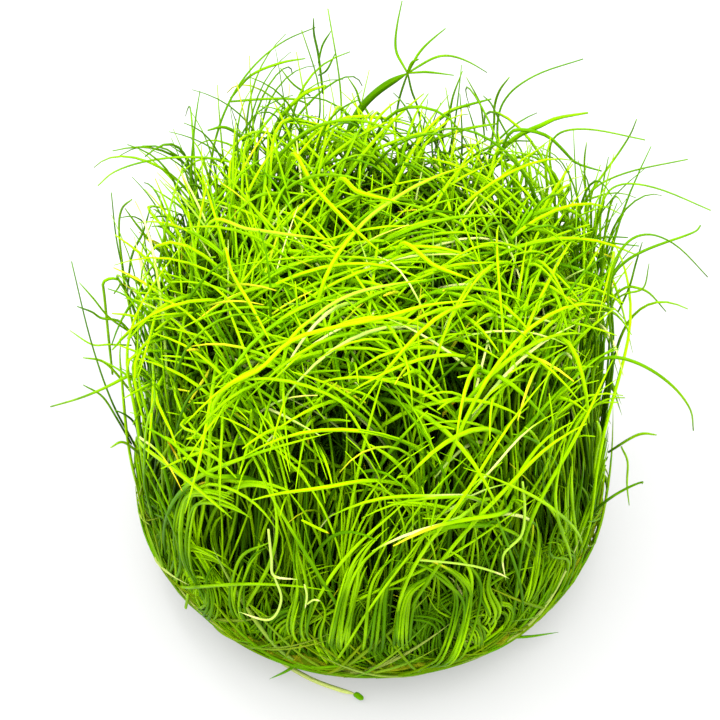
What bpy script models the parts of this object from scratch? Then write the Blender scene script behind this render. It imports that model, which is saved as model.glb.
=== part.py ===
"""Dwarf hairgrass clump, lifted whole out of the cup it was raised in.

A felted root mat carries 37 tufts. Each tuft is a crown from which locks of needle leaves rise, and
together they keep the round form that the cup pressed them into: a rounded foot, a nearly upright
wall and a domed top. Single long leaves and one runner with its own shoot stand clear of that form.

Metres, +Z up. The origin is the middle of the flat underside of the root mat.
"""

import math
import random

import bmesh
import bpy
from mathutils import Vector, noise

MM = 0.001

# The form that the cup gave the clump
FOOT_RADIUS = 29.1 * MM
FOOT_ROUNDING = 10.5 * MM
SHOULDER_RADIUS = 30.0 * MM
CANOPY_HEIGHT = 51.7 * MM
CANOPY_ROUNDING = 14.0 * MM

# Root mat and crowns
MAT_HEIGHT = 6.5 * MM
MAT_EDGE = 1.2 * MM
MAT_STEPS = 44
MAT_LUMP = 0.35 * MM
MAT_LUMP_SCALE = 4.0 * MM
CROWN_HEIGHT = 2.0 * MM
GAP = 0.3 * MM

# Tufts stand in rings round the middle one, and each has six places for a lock
RINGS = 3
LOCKS = 6
CELL_FILL = 0.95
LOCK_INSET = 0.24 * MM
LOCK_SHORTER = 5.0 * MM
LOCK_TAPER = 2.6
LOCK_TIP_SHARE = 0.07
OUTER_LOCK_STEPS = 5
INNER_LOCK_STEPS = 4

# Lean of the leaves: its size at the canopy, how fast it grows with height, how wide its swells are, how much
# of a leaf's height counts in them, and how far apart its two directions are read in them
SWAY = 11.0 * MM
SWAY_GROWTH = 1.5
SWAY_SCALE = 17.0 * MM
SWAY_TALL = 0.4
SWAY_APART = Vector((-15.9, 3.5, -19.8))

# Single leaves and the runner
LEAF_RADIUS = 0.48 * MM
LEAF_TIP_SHARE = 0.22
SHOOT_LEAF_RADIUS = 0.34 * MM
RUNNER_RADIUS = 0.75 * MM
RUNNER_TIP_SHARE = 0.9
RISE_SHARE = 0.6
STEPS_INSIDE = 4
STEPS_FREE = 7

MAT_TOP = MAT_HEIGHT + GAP
CROWN_TOP = MAT_TOP + CROWN_HEIGHT
BAND = 1 / (RINGS + 0.5)
SHOULDER_HEIGHT = CANOPY_HEIGHT - CANOPY_ROUNDING

# name: (ring, tuft, lock place, height at which it leaves the mass, knee, tip), in millimetres
LONG_LEAVES = {
    "leaf_left_tall": (3, 9, 1, 13, (-31.0, -4.5, 21.0), (-34.0, 0.0, 47.0)),
    "leaf_left_level": (3, 10, 0, 37, (-28.0, -13.5, 40.5), (-37.2, -6.5, 29.5)),
    "leaf_left_arch": (2, 4, 1, 39, (-30.0, 19.5, 45.5), (-32.0, 14.0, 45.2)),
    "leaf_left_short": (3, 8, 1, 31, (-30.0, 8.0, 31.5), (-29.8, 8.0, 50.0)),
    "leaf_back_hoop": (3, 7, 0, 36, (-15.5, 28.5, 53.5), (-7.1, 40.0, 46.6)),
    "leaf_back_lean": (3, 6, 0, 36, (-2.5, 24.0, 40.5), (-8.3, 26.0, 58.7)),
    "leaf_back_tall": (3, 5, 1, 37, (-1.0, 21.5, 37.0), (-5.4, 34.0, 55.0)),
    "leaf_far_reach": (3, 3, 1, 39, (11.5, 29.0, 47.0), (24.7, 28.0, 52.6)),
    "leaf_right_hoop": (3, 2, 1, 35, (15.5, 28.5, 45.0), (31.4, 16.0, 51.0)),
    "leaf_right_straight": (3, 2, 0, 35, (30.5, 24.0, 41.5), (30.8, 21.0, 49.5)),
    "leaf_right_rise": (3, 1, 1, 37, (20.0, 18.0, 42.0), (36.0, 12.0, 51.8)),
    "leaf_right_reach": (3, 1, 0, 39, (25.0, 19.5, 46.0), (38.4, 6.0, 49.6)),
    "leaf_right_lift": (3, 0, 1, 43, (37.0, 0.5, 50.5), (37.0, 3.0, 50.2)),
    "leaf_right_bow": (3, 0, 0, 44, (29.0, -1.0, 60.0), (37.8, -1.5, 46.5)),
    "leaf_right_droop": (3, 17, 1, 39, (36.5, -15.5, 44.0), (36.8, -11.0, 31.0)),
    "leaf_right_low": (3, 17, 0, 12, (33.0, -9.0, 20.5), (31.6, -11.0, 21.5)),
}
RUNNER = (3, 5, 0, 36, (-2.0, 30.5, 44.0), (4.1, 30.0, 48.4))

# name: (knee, tip) of the leaves of the shoot on the runner's end, in millimetres
SHOOT_LEAVES = {
    "shoot_leaf_up": ((2.2, 32.5, 50.5), (3.4, 36.0, 54.5)),
    "shoot_leaf_lean": ((5.8, 32.0, 50.8), (8.6, 33.5, 52.4)),
    "shoot_leaf_arch": ((9.0, 31.0, 51.6), (13.6, 31.0, 47.6)),
    "shoot_leaf_side": ((6.5, 29.6, 49.0), (9.6, 29.2, 48.8)),
}


def clear_scene():
    for obj in list(bpy.data.objects):
        bpy.data.objects.remove(obj, do_unlink=True)


def material(name, colour, roughness):
    made = bpy.data.materials.new(name)
    made.use_nodes = True
    shader = made.node_tree.nodes["Principled BSDF"]
    shader.inputs["Base Color"].default_value = (*colour, 1.0)
    shader.inputs["Roughness"].default_value = roughness
    made.diffuse_color = (*colour, 1.0)
    return made


def place(name, data, collection, finish):
    obj = bpy.data.objects.new(name, data)
    collection.objects.link(obj)
    data.materials.append(finish)
    return obj


# Form of the cup


def wall_radius(z):
    """Radius of the moulded wall at height z: a rounded foot, then a slight flare to the shoulder."""
    if z < FOOT_ROUNDING:
        drop = FOOT_ROUNDING - z
        return FOOT_RADIUS - FOOT_ROUNDING + math.sqrt(FOOT_ROUNDING**2 - drop**2)
    share = min(1.0, (z - FOOT_ROUNDING) / (SHOULDER_HEIGHT - FOOT_ROUNDING))
    return FOOT_RADIUS + (SHOULDER_RADIUS - FOOT_RADIUS) * share


def canopy_height(radius):
    """Height of the domed top at this distance from the middle."""
    past = max(0.0, radius - (SHOULDER_RADIUS - CANOPY_ROUNDING))
    return SHOULDER_HEIGHT + math.sqrt(max(0.0, CANOPY_ROUNDING**2 - past**2))


def press_into_cup(point):
    """Carries a point of the straight layout, whose disc has the foot's radius, into the grown form.

    Leaves are laid out upright. The wall's radius at each height spreads them, and a slow swell of
    lean bends them more the higher they stand, but never out through the wall.
    """
    u, v = point.x / FOOT_RADIUS, point.y / FOOT_RADIUS
    share = math.hypot(u, v)
    x, y = u * wall_radius(point.z), v * wall_radius(point.z)
    height = max(0.0, (point.z - CROWN_TOP) / (CANOPY_HEIGHT - CROWN_TOP))
    place_in_swell = Vector((x, y, SWAY_TALL * point.z)) / SWAY_SCALE
    lean = Vector((noise.noise(place_in_swell), noise.noise(place_in_swell + SWAY_APART)))
    shift = lean * SWAY * height**SWAY_GROWTH
    if share > 0:
        outward = Vector((u, v)) / share
        shift -= outward * max(0.0, shift.dot(outward)) * min(1.0, share**3)
    return Vector((x + shift.x, y + shift.y, point.z))


# Root mat


def build_root_mat(collection, finish):
    """Felted disc of roots and runners, turned from its section and lumped at its side."""
    flat = FOOT_RADIUS - FOOT_ROUNDING
    heights = [0.0, 0.5 * MM, 1.6 * MM, 3.4 * MM, MAT_HEIGHT - MAT_EDGE]
    section = [(0.0, 0.0)] + [(wall_radius(z), z) for z in heights]
    section.append((wall_radius(MAT_HEIGHT) - MAT_EDGE, MAT_HEIGHT))
    section.append((0.0, MAT_HEIGHT))

    mesh = bpy.data.meshes.new("root_mat")
    bm = bmesh.new()
    points = [bm.verts.new((radius, 0.0, z)) for radius, z in section]
    for low, high in zip(points, points[1:]):
        bm.edges.new((high, low))
    bm.to_mesh(mesh)
    bm.free()

    obj = place("root_mat", mesh, collection, finish)
    screw = obj.modifiers.new("turn", "SCREW")
    screw.steps = screw.render_steps = MAT_STEPS
    screw.use_merge_vertices = True
    screw.merge_threshold = 0.00001
    screw.use_normal_calculate = True
    turned = bpy.data.meshes.new_from_object(obj.evaluated_get(bpy.context.evaluated_depsgraph_get()))
    obj.modifiers.clear()
    obj.data = turned
    for vertex in turned.vertices:
        radius = math.hypot(vertex.co.x, vertex.co.y)
        if radius > flat and 0.0 < vertex.co.z < MAT_HEIGHT:
            lump = 1 - MAT_LUMP / radius * (1 + noise.noise(vertex.co / MAT_LUMP_SCALE))
            vertex.co.x *= lump
            vertex.co.y *= lump


# Tufts


def polar(share, angle):
    return Vector((share * math.cos(angle), share * math.sin(angle), 0.0)) * FOOT_RADIUS


def cell(ring, index):
    """Middle and six corners of a tuft's cell in the straight layout, anticlockwise from its outer side."""
    if ring == 0:
        corners = [polar(0.5 * BAND, math.radians(60 * k)) for k in range(LOCKS)]
        return Vector((0.0, 0.0, 0.0)), corners
    span = math.tau / (6 * ring)
    middle = span * index
    inner, outer = (ring - 0.5) * BAND, (ring + 0.5) * BAND
    sides = (middle - span / 2, middle, middle + span / 2)
    corners = [polar(outer, angle) for angle in sides]
    corners += [polar(inner, angle) for angle in reversed(sides)]
    return polar(ring * BAND, middle), corners


def lock_foot(ring, index, spot):
    """Middle of a lock's place on its crown, in the straight layout."""
    middle, corners = cell(ring, index)
    return (middle + corners[spot] + corners[(spot + 1) % LOCKS]) / 3


def build_tuft(name, ring, index, taken, chance, collection, finish):
    """Crown with a lock of leaves on each place that no long leaf takes."""
    middle, corners = cell(ring, index)
    bm = bmesh.new()
    bmesh.ops.create_circle(bm, cap_ends=True, segments=LOCKS, radius=FOOT_RADIUS)
    for vertex, corner in zip(bm.verts, corners):
        vertex.co = middle + (corner - middle) * CELL_FILL
        vertex.co.z = MAT_TOP
    raised = bmesh.ops.extrude_face_region(bm, geom=bm.faces[:], use_keep_orig=True)["geom"]
    for part in raised:
        if isinstance(part, bmesh.types.BMVert):
            part.co.z = CROWN_TOP
    bmesh.ops.recalc_face_normals(bm, faces=bm.faces)
    top = max(bm.faces, key=lambda face: face.calc_center_median().z)
    wedges = bmesh.ops.poke(bm, faces=[top])["faces"]

    for wedge in wedges:
        centre = wedge.calc_center_median()
        spot = min(range(LOCKS), key=lambda k: (lock_foot(ring, index, k).xy - centre.xy).length)
        if spot not in taken:
            raise_lock(bm, wedge, OUTER_LOCK_STEPS if ring == RINGS else INNER_LOCK_STEPS, chance)

    for vertex in bm.verts:
        vertex.co = press_into_cup(vertex.co)
    mesh = bpy.data.meshes.new(name)
    bm.to_mesh(mesh)
    bm.free()
    place(name, mesh, collection, finish)


def raise_lock(bm, wedge, steps, chance):
    """Draws one lock up from its wedge of the crown: full for most of its height, then to a point."""
    bmesh.ops.inset_individual(bm, faces=[wedge], thickness=LOCK_INSET)
    centre = wedge.calc_center_median()
    foot = [vertex.co - centre for vertex in wedge.verts]
    reach = centre.length / FOOT_RADIUS * SHOULDER_RADIUS
    tip = canopy_height(reach) - chance.uniform(0.0, LOCK_SHORTER)
    face = wedge
    for step in range(1, steps + 1):
        share = step / steps
        face = bmesh.ops.extrude_discrete_faces(bm, faces=[face])["faces"][0]
        size = max(LOCK_TIP_SHARE, 1 - share**LOCK_TAPER)
        for vertex, offset in zip(face.verts, foot):
            vertex.co = centre + offset * size
            vertex.co.z = CROWN_TOP + (tip - CROWN_TOP) * share


# Single leaves


def bezier(start, rise, knee, tip, count):
    """Points along a cubic that leaves start towards rise, rounds the knee and ends at the tip."""
    points = []
    for step in range(1, count + 1):
        t = step / count
        s = 1 - t
        points.append(start * s**3 + rise * (3 * s * s * t) + knee * (3 * s * t * t) + tip * t**3)
    return points


def leaf_route(ring, index, spot, height, knee, tip):
    """Route of a leaf: up its place in the tuft with the locks' own lean, then free to its tip."""
    foot = lock_foot(ring, index, spot)
    low, high = CROWN_TOP + GAP, height * MM
    climb = [low + (high - low) * k / STEPS_INSIDE for k in range(STEPS_INSIDE + 1)]
    inside = [foot + Vector((0, 0, z)) for z in climb]
    inside = [press_into_cup(point) for point in inside]
    start = inside[-1]
    knee, tip = Vector(knee) * MM, Vector(tip) * MM
    heading = (start - inside[-2]).normalized()
    rise = start + heading * (knee - start).length * RISE_SHARE
    return inside + bezier(start, rise, knee, tip, STEPS_FREE)


def build_strand(name, route, radius, tip_share, collection, finish):
    """Round strand along the route, thick for two thirds of it and then drawn to its tip."""
    curve = bpy.data.curves.new(name, "CURVE")
    curve.dimensions = "3D"
    curve.bevel_depth = radius
    curve.bevel_resolution = 0
    curve.use_fill_caps = True
    spline = curve.splines.new("POLY")
    spline.points.add(len(route) - 1)
    for k, (point, at) in enumerate(zip(spline.points, route)):
        share = k / (len(route) - 1)
        point.co = (*at, 1.0)
        point.radius = 1 - (1 - tip_share) * share**3
    place(name, curve, collection, finish)


def build_runner(collection, finish):
    """Runner that climbs out of the back of the clump. Returns its end, where its shoot stands."""
    route = leaf_route(*RUNNER)
    build_strand("runner", route, RUNNER_RADIUS, RUNNER_TIP_SHARE, collection, finish)
    return route[-1]


def build_shoot_leaf(name, node, knee, tip, collection, finish):
    """Leaf of the runner's shoot, which starts just clear of the runner's end."""
    knee, tip = Vector(knee) * MM, Vector(tip) * MM
    start = node + (knee - node).normalized() * (RUNNER_RADIUS + 2 * SHOOT_LEAF_RADIUS + GAP)
    route = [start] + bezier(start, start.lerp(knee, RISE_SHARE), knee, tip, STEPS_FREE)
    build_strand(name, route, SHOOT_LEAF_RADIUS, LEAF_TIP_SHARE, collection, finish)


def main():
    clear_scene()
    clump = bpy.data.collections.new("hairgrass_clump")
    bpy.context.scene.collection.children.link(clump)
    felt = material("root_felt", (0.30, 0.33, 0.05), 0.75)
    grass = material("grass_green", (0.24, 0.52, 0.01), 0.45)
    lime = material("leaf_lime", (0.36, 0.68, 0.01), 0.4)
    olive = material("runner_olive", (0.26, 0.33, 0.03), 0.5)

    build_root_mat(clump, felt)

    taken = {}
    for ring, index, spot, *_ in [*LONG_LEAVES.values(), RUNNER]:
        taken.setdefault((ring, index), set()).add(spot)
    chance = random.Random(11)
    number = 0
    for ring in range(RINGS + 1):
        for index in range(max(1, 6 * ring)):
            number += 1
            spots = taken.get((ring, index), set())
            build_tuft(f"tuft_{number:02d}", ring, index, spots, chance, clump, grass)

    for name, plan in LONG_LEAVES.items():
        build_strand(name, leaf_route(*plan), LEAF_RADIUS, LEAF_TIP_SHARE, clump, lime)
    node = build_runner(clump, olive)
    for name, (knee, tip) in SHOOT_LEAVES.items():
        build_shoot_leaf(name, node, knee, tip, clump, lime)


main()
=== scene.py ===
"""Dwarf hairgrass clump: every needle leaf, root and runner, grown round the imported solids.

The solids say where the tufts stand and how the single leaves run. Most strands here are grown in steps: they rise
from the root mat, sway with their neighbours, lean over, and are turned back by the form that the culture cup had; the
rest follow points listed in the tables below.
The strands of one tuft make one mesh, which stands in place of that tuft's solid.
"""

import math
from dataclasses import dataclass, replace

import bpy
import numpy as np
from bpy.props import FloatProperty, FloatVectorProperty, IntProperty, PointerProperty
from bpy.types import Operator, Panel, PropertyGroup
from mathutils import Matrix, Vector


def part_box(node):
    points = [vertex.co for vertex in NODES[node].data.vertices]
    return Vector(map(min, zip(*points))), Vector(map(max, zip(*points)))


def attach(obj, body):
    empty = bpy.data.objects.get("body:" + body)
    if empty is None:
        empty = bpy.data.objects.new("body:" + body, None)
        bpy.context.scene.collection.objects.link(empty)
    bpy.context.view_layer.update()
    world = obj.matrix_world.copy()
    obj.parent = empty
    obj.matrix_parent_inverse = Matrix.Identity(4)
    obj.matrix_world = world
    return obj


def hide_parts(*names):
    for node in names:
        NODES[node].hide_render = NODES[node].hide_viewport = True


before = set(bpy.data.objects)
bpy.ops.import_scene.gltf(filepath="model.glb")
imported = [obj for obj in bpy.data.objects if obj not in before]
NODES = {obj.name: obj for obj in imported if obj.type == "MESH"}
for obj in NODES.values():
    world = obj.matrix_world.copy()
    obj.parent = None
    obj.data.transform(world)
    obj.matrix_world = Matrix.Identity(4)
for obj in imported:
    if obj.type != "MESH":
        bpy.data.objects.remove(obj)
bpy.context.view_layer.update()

bl_info = {
    "name": "Dwarf Hairgrass Clump",
    "version": (1, 0, 0),
    "blender": (4, 5, 0),
    "location": "3D View > Sidebar > Hairgrass",
    "description": "Grows a clump of dwarf hairgrass around its packed solids",
    "category": "Add Mesh",
}

MM = 0.001
TUFTS = sorted(name for name in NODES if name.startswith("tuft_"))
LONG_LEAVES = sorted(name for name in NODES if name.startswith("leaf_"))
SHOOT_LEAVES = sorted(name for name in NODES if name.startswith("shoot_leaf_"))
MAT_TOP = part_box("root_mat")[1].z
STRAND_MAP = "Strand"
BAKE_MAP = "OFBake"

# Hollows of the canopy: middle x and y, radius and the height of the floor, in millimetres
HOLLOWS = (
    (0.0, -25.0, 4.0, 30.0),
    (-5.0, -25.0, 2.5, 32.0),
    (15.5, -21.5, 3.0, 33.0),
    (19.5, -18.5, 2.5, 33.0),
    (8.0, -15.5, 2.5, 38.0),
    (-3.5, 5.0, 2.0, 40.0),
    (-20.0, -17.0, 2.5, 33.0),
)

# Locks on the front of the wall: leaves, depth in millimetres, then degrees round the clump and heights in turn
WALL_LOCKS = (
    (8, -0.4, (-77, 2, -72, 9, -68, 19, -70, 24.5, -77, 29, -87, 31)),
    (5, -0.1, (-78, 2, -83, 14, -82, 22, -78, 25, -73, 26.5)),
    (6, -0.2, (-98, 2, -97, 14, -95, 24, -92, 30, -84, 36)),
    (5, -0.2, (-92, 2, -90, 14, -88, 25, -82, 30, -75, 34)),
    (6, 0.1, (-137, 3, -139, 16, -137, 28, -129, 33, -119, 34, -111, 31)),
    (5, 0.2, (-121, 3, -123, 14, -120, 24, -113, 30)),
    (5, 0.0, (-104, 2, -107, 14, -105, 23, -107, 30)),
    (5, 0.1, (-63, 2, -60, 14, -63, 21, -60, 28, -53, 32)),
    (5, 0.2, (-49, 2, -51, 14, -47, 23, -49, 30)),
)

# Runners and plantlets on the wall: width, paleness (above 1 from end to end), age, depth, then degrees and
# heights in turn
WALL_RUNNERS = (
    (0.36, 1.48, 0.0, -0.6, (-112.5, 33, -112, 28, -111.5, 25, -106, 25.5)),
    (0.32, 1.42, 0.0, -0.6, (-111.5, 25, -110, 21, -113, 16.5, -121, 15.5)),
    (0.28, 1.48, 0.0, -0.7, (-104.5, 25, -104, 23, -104.5, 20.5)),
    (0.24, 1.48, 0.0, -0.7, (-104, 21.5, -102.5, 22.5, -101, 22.5)),
    (0.28, 1.24, 0.0, -0.6, (-80, 30, -73, 28.5, -67, 26.5, -61, 23.5, -58, 21.5)),
    (0.36, 1.18, 0.0, -0.6, (-56, 38, -55, 33, -55.5, 28.5, -60, 26.5, -59, 21.5)),
    (0.32, 0, 1.0, -0.4, (-105, 36, -101, 35, -99, 34.5)),
)

# Blades on the canopy: width, paleness (a cream patch, partly a painted glint), depth, foot x and y, then x and y of
# points along the visible part
CANOPY_BLADES = (
    (0.8, 0.05, -1.0, (-23, 8), (-18.5, 2.5, -14, 1.0, -9.5, -0.5, -4, -2)),
    (1.1, 0.05, -1.0, (-12, -6), (-5.5, -7, -1.5, 1.5, 3, 6, 7, 8.5, 11, 10)),
    (1.1, 0.0, -0.5, (-14, 18), (-9.5, 14, -6.5, 8, -2.5, 1.5, 1, -3.5)),
    (1.1, 0.0, -1.0, (-22, -18), (-17, -20, -12, -18.5, -8, -15.5, 1, -13, 6, -11.5, 11, -11)),
    (1.0, 0.1, -0.5, (-12, -20), (-9.5, -16.5, -6, -11.5, -2.5, -9, 1.5, -8, 6, -7.5)),
    (1.1, 0.0, -1.0, (-8, 14), (-4, 9, -1.5, 6.5, 3, 4)),
    (1.0, 0.0, -0.5, (-18, 4), (-16.5, -1.5, -15.5, -5.5, -13, -11.5, -11, -16.5)),
    (1.0, 0.0, -1.0, (2, 4), (3, -1, 7, -5, 11, -8)),
)

# Single leaves at the clump's edge and back: width and y, then x and z of points from foot to tip, in millimetres
EDGE_LEAVES = (
    (0.45, 30, (-6, 45, -6.5, 50, -7, 53.5, -7, 57)),
    (0.35, 30, (-6.5, 50, -6, 52.5, -5, 55)),
    (0.35, 30, (-6.5, 48, -5.5, 50, -4.5, 51.5)),
    (0.4, 28, (-17, 46, -14.5, 49, -11, 51, -8, 52.5)),
    (0.4, 28, (-17, 45.5, -13, 46, -9.5, 46, -7.5, 45)),
    (0.35, 28, (-7.5, 46.5, -9.5, 49, -11, 51)),
    (0.6, 22, (-13.5, 38.5, -14, 41.5, -15.5, 44.5, -17.5, 46.5, -19.5, 46.5)),
    (0.7, 25, (-13.5, 34.5, -12.5, 40.5, -12, 43.5, -10.5, 47, -8, 50, -5.5, 51)),
    (0.6, 24, (-8.5, 34.5, -7.5, 39.5, -8, 41.5, -9.5, 44.5, -11, 44.5, -12.5, 42)),
    (0.55, 26, (4.5, 36, 5.5, 40.5, 6.5, 43, 9, 46, 11, 47, 14, 48)),
    (0.5, 26, (4.5, 37, 6, 41, 8.5, 43, 11.5, 44, 15, 44)),
    (0.4, 27, (7.5, 38.5, 8, 42, 9, 45.5, 9.5, 48.5, 10.5, 51.5)),
    (0.35, 27, (13.5, 40, 13, 44.5, 12.5, 46.5, 11, 50.5)),
    (0.35, 26, (17, 40, 15, 44.5, 14, 47, 13, 48.5)),
    (0.45, 28, (0.5, 37.5, -0.5, 42.5, -1.5, 44, -2, 46.5, -3, 49.5)),
    (0.45, 26, (14, 37.5, 14.5, 42.5, 14.5, 45.5, 15, 48.5, 16, 51.5)),
    (0.7, 20, (12.5, 39.5, 13.5, 43, 15, 46, 17, 48.5, 19.5, 50, 21.5, 51, 25, 51.5)),
    (0.5, 19, (15, 46, 16, 49.5, 18, 50, 20.5, 49, 22.5, 46.5, 24, 44.5, 27, 43)),
    (0.35, 14, (25, 43, 24.5, 48.5, 24.5, 52.5)),
    (0.35, 8, (25, 42.5, 25.5, 46, 25.5, 49)),
    (0.35, 8, (25, 42.5, 26, 46, 26.5, 49)),
    (0.35, 2, (28.5, 37, 29.5, 41, 30, 45, 30.5, 48.5)),
    (0.4, 2, (27, 38.5, 29, 41, 30.5, 41, 32, 40, 34, 37)),
    (0.35, 2, (27.5, 38.5, 29, 41, 31, 42, 31.5, 45)),
    (0.4, 8, (-29, 32.5, -29.5, 41, -29, 45.5, -27.5, 49)),
    (0.4, 8, (-29, 32.5, -28, 40, -26.5, 44, -25.5, 47.5)),
    (0.45, 9, (-20.5, 34, -22, 37, -25, 40, -27, 43.5, -28.5, 46.5)),
    (0.5, 4, (-31, 23.5, -31, 28.5, -31, 34.5, -31, 38.5, -31, 40.5, -30, 41, -29, 40, -30, 37.5)),
    (0.6, 5, (-26, 34, -27, 38.5, -27.5, 39.5, -29, 39.5)),
    (0.35, 1, (-28.5, 34.5, -30.5, 37.5, -32, 40.5, -33.5, 42.5)),
    (0.35, 1, (-28, 34, -29.5, 35, -31.5, 35, -32.5, 36.5, -34, 38.5)),
    (0.3, 0, (-28, 33, -30.5, 34, -32.5, 34, -35, 35.5)),
    (0.35, -2, (-28, 26.5, -30, 29.5, -31.5, 31.5, -33.5, 33)),
    (0.4, -4, (-28.5, 20, -30, 24, -31.5, 28, -33.5, 30.5)),
    (0.35, -8, (-26.5, 22, -29, 23.5, -30.5, 24)),
    (0.4, -5, (28, 20, 30.6, 22.2, 32, 23, 33.5, 23.2)),
    (0.4, -5, (29.5, 21, 30.4, 18.2, 30.6, 14, 31.1, 10.2)),
)

# Runner that lies round the foot and ends on the floor, its bud, and leaf tips beside it, in millimetres
FOOT_RUNNER = ((-16, -17.5, 3.5), (-11.5, -21.3, 1.4), (-7.5, -23.8, 0.6), (-4, -25.4, 0.5), (-1.6, -26.2, 0.5))
FOOT_TIPS = (((-7, -21.5, 2.8), (-9.5, -23.4, 1.8), (-12, -24.6, 1.3)), ((13, -20, 4), (18, -19.2, 2.6), (22.5, -18, 2)))
FOOT_BUD = ((-1.8, -26.1, 0.5), (-1.2, -26.8, 0.7), (-0.9, -27.4, 1.1))

# Leaves that hang from the end of the climbing runner, from its node, in millimetres
HANGING_LEAVES = (
    ((4.1, 30, 48.4), (4.6, 29.5, 46), (5.4, 29, 43.5), (6, 28.5, 39)),
    ((4.1, 30, 48.4), (3.2, 29.5, 45), (2.8, 29, 42), (2.8, 28.5, 38)),
    ((4.1, 30, 48.4), (4.6, 30.5, 49.6), (5.4, 30.5, 50.2)),
)


# Settings


def length(name, description, size):
    return FloatProperty(name=name, description=description, default=size, min=0, precision=5,
                         subtype="DISTANCE", unit="LENGTH")


def share(name, description, value, most=1.0):
    return FloatProperty(name=name, description=description, default=value, min=0, max=most, subtype="FACTOR")


def number(name, description, value):
    return IntProperty(name=name, description=description, default=value, min=0)


def colour(name, description, rgb):
    return FloatVectorProperty(name=name, description=description, default=rgb, size=3, min=0, max=1,
                               subtype="COLOR")


class HairgrassForm(PropertyGroup):
    """The form that the cup gave the clump"""

    foot_radius: length("Foot radius", "Radius of the wall just above its rounded foot", 29.1 * MM)
    foot_rounding: length("Foot rounding", "Radius of the rounded edge round the foot", 10.5 * MM)
    shoulder_radius: length("Shoulder radius", "Radius of the wall where the canopy starts to round over", 30 * MM)
    canopy_height: length("Canopy height", "Height of the domed top", 51.7 * MM)
    canopy_rounding: length("Canopy rounding", "Radius of the rounded edge round the canopy", 14 * MM)
    rings: number("Rings", "Rings of tufts round the middle one", 3)


class HairgrassLeaves(PropertyGroup):
    """How many leaves there are and how they grow"""

    width: length("Leaf width", "Widest part of a needle leaf", 0.56 * MM)
    canopy_count: number("Canopy leaves", "Long leaves of each tuft that bow over at the canopy", 54)
    inner_count: number("Inner leaves", "Shorter upright leaves of each tuft", 30)
    lock_count: number("Locks", "Locks of leaves that each outer tuft presses to the wall", 12)
    lock_size: number("Lock size", "Leaves in a lock", 8)
    loose_count: number("Loose wall leaves", "Single leaves across the locks of each outer tuft", 2)
    shoulder_count: number("Shoulder leaves", "Short leaves of each outer tuft that bend over below the canopy", 26)
    hook_count: number("Hooked leaves", "Thin leaves of each outer tuft that hook over above the canopy's edge", 16)
    tip_count: number("Standing tips", "Thin leaves of each outer tuft whose tips stand off the wall", 12)
    seed: number("Seed", "Start of the random growth", 5)


class HairgrassRoots(PropertyGroup):
    """Runners and roots felted together at the foot"""

    width: length("Root width", "Widest part of a felted root", 0.55 * MM)
    count: number("Roots", "Roots and runners on the outside of the mat", 820)
    seed: number("Seed", "Start of the random growth", 3)


class HairgrassColours(PropertyGroup):
    """Colours of the plant"""

    # Lime is mixed in by each strand's tint and by painted light; deep green is painted shade, where the light
    # attribute is low.
    lime: colour("Lime", "Young leaves in full light", (0.38, 0.73, 0.0))
    green: colour("Green", "Leaves of the wall and the middle layer", (0.12, 0.34, 0.0))
    deep: colour("Deep green", "Leaves low in the clump", (0.018, 0.06, 0.0))
    straw: colour("Straw", "Ageing leaves", (0.80, 0.74, 0.02))
    rust: colour("Rust", "Dead bits", (0.42, 0.16, 0.0))
    # Cream also makes the pale patches on canopy leaves, which are partly bleached leaf and partly a painted glint.
    cream: colour("Cream", "Runners and leaf bases that had no light", (0.84, 0.88, 0.28))
    olive: colour("Olive", "Old runners and the root felt", (0.14, 0.235, 0.0))


class HairgrassStage(PropertyGroup):
    """Camera, floor and light"""

    camera_distance: length("Camera distance", "From the camera to the middle of the foot", 0.388)
    camera_elevation: FloatProperty(name="Camera elevation", description="Angle of the camera above the floor",
                                    default=math.radians(51), subtype="ANGLE")
    aim: FloatVectorProperty(name="Aim", description="Point in the middle of the picture", size=3,
                             default=(-0.0014, 0, 0.0306), subtype="TRANSLATION", unit="LENGTH")
    lens: FloatProperty(name="Lens", description="Focal length on a sensor 36 mm wide, in mm", default=156)
    floor: colour("Floor", "Pale floor", (0.27, 0.27, 0.27))
    glow: FloatProperty(name="Floor glow", description="Strength of the light that comes through the floor",
                        default=0.44, min=0)
    key: FloatProperty(name="Key light", description="Strength of the broad soft light from above", default=4.7,
                       min=0)
    glint: FloatProperty(name="Glint light", description="Power of the smaller light that draws the glints, in watts",
                         default=0.4, min=0)
    sky: FloatProperty(name="Sky", description="Strength of the even white light all round", default=1.4, min=0)


class HairgrassSettings(PropertyGroup):
    """Everything that a user would change"""

    form: PointerProperty(type=HairgrassForm)
    leaves: PointerProperty(type=HairgrassLeaves)
    roots: PointerProperty(type=HairgrassRoots)
    colours: PointerProperty(type=HairgrassColours)
    stage: PointerProperty(type=HairgrassStage)


# Growing


def unit(vectors):
    return vectors / np.maximum(np.linalg.norm(vectors, axis=-1, keepdims=True), 1e-12)


def ramp(values, low, high):
    """Smooth step from 0 at low to 1 at high."""
    t = np.clip((np.asarray(values) - low) / (high - low), 0, 1)
    return t * t * (3 - 2 * t)


def swell(chance, size, waves=7):
    """A smooth field of vectors about 1 long, whose swells are about size wide."""
    ways = unit(chance.normal(size=(waves, 3))) * chance.uniform(0.6, 1.5, (waves, 1)) * math.tau / size
    phases = chance.uniform(0, math.tau, waves)
    leans = chance.normal(size=(waves, 3)) / math.sqrt(waves / 2)
    return lambda points: np.sin(points @ ways.T + phases) @ leans


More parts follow.
